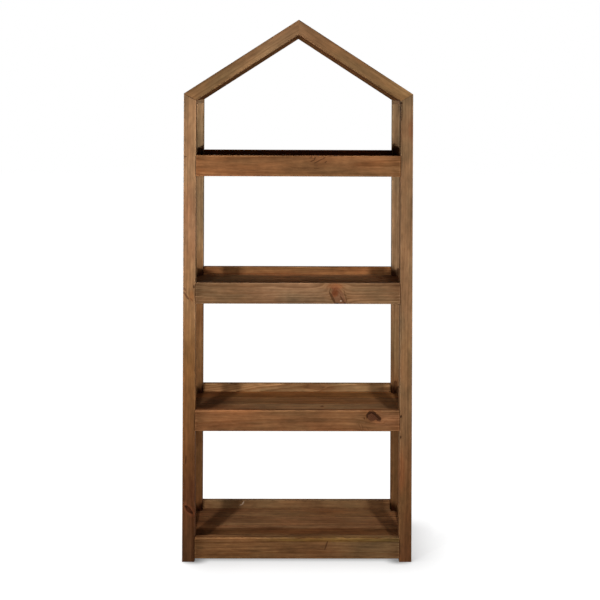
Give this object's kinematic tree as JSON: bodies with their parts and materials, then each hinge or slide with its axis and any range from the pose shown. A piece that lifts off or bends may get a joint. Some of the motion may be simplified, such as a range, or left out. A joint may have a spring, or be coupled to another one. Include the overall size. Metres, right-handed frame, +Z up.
{
  "type": "wooden shelf",
  "caption": "House-shaped wooden shelf: square posts under a pitched roof carry open slatted trays with raised lips on all sides.",
  "frame": {"origin": "on the floor, at the middle of the plan", "axes": "+Z up; +X to the right seen from the front; the front faces -Y"},
  "size_m": [0.762, 0.32, 1.8],
  "materials": {
    "pine_frame": "stained and waxed, rubbed along the edges",
    "pine_roof": "stained and waxed",
    "pine_lips": "stained and waxed, rubbed along the edges",
    "pine_slats": "stained and waxed",
    "pine_cleats": "stained",
    "beech_dowels": "plain",
    "steel_screws": "zinc plated"
  },
  "bodies": {
    "root": {"post_front_left": "pine_frame", "post_front_right": "pine_frame", "post_back_left": "pine_frame", "post_back_right": "pine_frame", "rafter_front_left": "pine_frame", "rafter_front_right": "pine_frame", "rafter_back_left": "pine_frame", "rafter_back_right": "pine_frame", "roof_left_plank_1": "pine_roof", "roof_left_plank_2": "pine_roof", "roof_left_plank_3": "pine_roof", "roof_right_plank_1": "pine_roof", "roof_right_plank_2": "pine_roof", "roof_right_plank_3": "pine_roof", "eave_rail_left": "pine_frame", "eave_rail_right": "pine_frame", "tray_bottom_front_lip": "pine_lips", "tray_bottom_back_lip": "pine_lips", "tray_bottom_left_lip": "pine_lips", "tray_bottom_right_lip": "pine_lips", "tray_bottom_slat_1": "pine_slats", "tray_bottom_slat_2": "pine_slats", "tray_bottom_slat_3": "pine_slats", "tray_bottom_slat_4": "pine_slats", "tray_bottom_left_cleat": "pine_cleats", "tray_bottom_right_cleat": "pine_cleats", "tray_lower_front_lip": "pine_lips", "tray_lower_back_lip": "pine_lips", "tray_lower_left_lip": "pine_lips", "tray_lower_right_lip": "pine_lips", "tray_lower_slat_1": "pine_slats", "tray_lower_slat_2": "pine_slats", "tray_lower_slat_3": "pine_slats", "tray_lower_slat_4": "pine_slats", "tray_lower_left_cleat": "pine_cleats", "tray_lower_right_cleat": "pine_cleats", "tray_upper_front_lip": "pine_lips", "tray_upper_back_lip": "pine_lips", "tray_upper_left_lip": "pine_lips", "tray_upper_right_lip": "pine_lips", "tray_upper_slat_1": "pine_slats", "tray_upper_slat_2": "pine_slats", "tray_upper_slat_3": "pine_slats", "tray_upper_slat_4": "pine_slats", "tray_upper_left_cleat": "pine_cleats", "tray_upper_right_cleat": "pine_cleats", "tray_top_front_lip": "pine_lips", "tray_top_back_lip": "pine_lips", "tray_top_left_lip": "pine_lips", "tray_top_right_lip": "pine_lips", "tray_top_slat_1": "pine_slats", "tray_top_slat_2": "pine_slats", "tray_top_slat_3": "pine_slats", "tray_top_slat_4": "pine_slats", "tray_top_left_cleat": "pine_cleats", "tray_top_right_cleat": "pine_cleats", "roof_dowels": "beech_dowels", "frame_dowels": "beech_dowels", "tray_screws": "steel_screws"}
  },
  "joints": []
}
